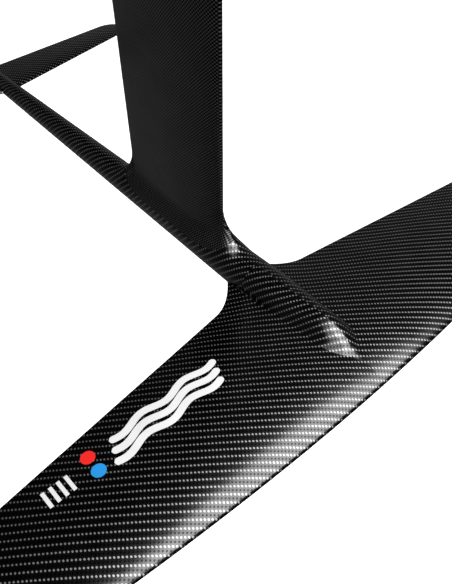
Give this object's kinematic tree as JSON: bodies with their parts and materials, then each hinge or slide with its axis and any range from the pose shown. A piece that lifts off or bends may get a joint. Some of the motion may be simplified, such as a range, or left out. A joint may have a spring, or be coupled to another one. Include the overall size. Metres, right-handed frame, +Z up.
{
  "type": "hydrofoil mast wing",
  "caption": "Carbon hydrofoil for a board: upright mast on a head plate, round fuselage, swept front wing and small stabilizer, joined by screws.",
  "frame": {"origin": "centre of the head plate's board face, midway between its four slots", "axes": "+X forward, +Y to port, +Z up out of the board face"},
  "size_m": [0.6464, 0.94, 0.8681],
  "materials": {
    "carbon_shell": "clear-coated carbon twill",
    "carbon_plate": "clear-coated carbon twill",
    "solid_carbon": "bare cured laminate",
    "foam_core": "closed-cell foam",
    "stainless": "fine-turned stainless steel",
    "shim_plastic": "moulded plastic"
  },
  "bodies": {
    "root": {"mast_fuselage_shell_port": "carbon_shell", "mast_fuselage_shell_starboard": "carbon_shell", "front_wing_upper_skin": "carbon_shell", "front_wing_lower_skin": "carbon_shell", "stabilizer_upper_skin": "carbon_shell", "stabilizer_lower_skin": "carbon_shell", "head_plate": "carbon_plate", "fuselage_tenon": "solid_carbon", "mast_spar": "solid_carbon", "mast_foot_block": "solid_carbon", "tail_block": "solid_carbon", "front_wing_socket_block": "solid_carbon", "front_wing_shear_web_port": "solid_carbon", "front_wing_shear_web_starboard": "solid_carbon", "mast_core_leading": "foam_core", "mast_core_trailing": "foam_core", "fuselage_core": "foam_core", "front_wing_core_port": "foam_core", "front_wing_core_starboard": "foam_core", "stabilizer_core": "foam_core", "front_wing_screws": "stainless", "front_wing_cup_washers": "stainless", "stabilizer_screws": "stainless", "stabilizer_cup_washers": "stainless", "tenon_inserts": "stainless", "tail_inserts": "stainless", "stabilizer_shim": "shim_plastic"}
  },
  "joints": []
}
